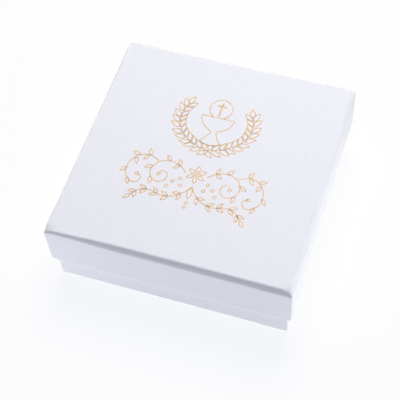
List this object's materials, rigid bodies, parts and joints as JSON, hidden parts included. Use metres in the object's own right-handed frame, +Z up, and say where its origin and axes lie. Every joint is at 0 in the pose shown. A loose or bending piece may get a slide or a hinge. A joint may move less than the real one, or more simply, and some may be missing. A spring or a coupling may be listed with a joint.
{
  "type": "pendant gift box",
  "caption": "Square paper-wrapped card gift box for a pendant: a lid that lifts off a deeper base, and a lift-out velvet pad inside.",
  "frame": {"origin": "centre of the box's bottom face, where it stands", "axes": "+Z up, out of the lid's top; +Y towards the back wall, the front wall faces -Y; +X to the right"},
  "size_m": [0.085, 0.085, 0.0303],
  "materials": {
    "greyboard": "raw grey millboard",
    "stay_paper": "brown gummed kraft paper",
    "wrap_paper": "white paper with a fine even texture, satin",
    "liner_paper": "plain white paper, matt",
    "pad_card": "white-lined card",
    "foam": "open-cell foam, off-white",
    "velvet": "short-pile flocked velvet, white"
  },
  "bodies": {
    "base": {"base_board": "greyboard", "base_corner_stays": "stay_paper", "base_wrap": "wrap_paper", "base_liner": "liner_paper"},
    "lid": {"lid_board": "greyboard", "lid_corner_stays": "stay_paper", "lid_wrap": "wrap_paper", "lid_liner": "liner_paper"},
    "pad": {"pad_card": "pad_card", "pad_foam": "foam", "pad_velvet": "velvet"}
  },
  "joints": [
    {"name": "lid_lift", "type": "slide", "parent": "base", "child": "lid", "axis": [0, 0, 1], "range_m": [0, 0.064]},
    {"name": "pad_lift", "type": "slide", "parent": "base", "child": "pad", "axis": [0, 0, 1], "range_m": [0, 0.032]}
  ],
  "couplings": [
    {"joint": "pad_lift", "follows": "lid_lift", "ratio": 0.5}
  ]
}
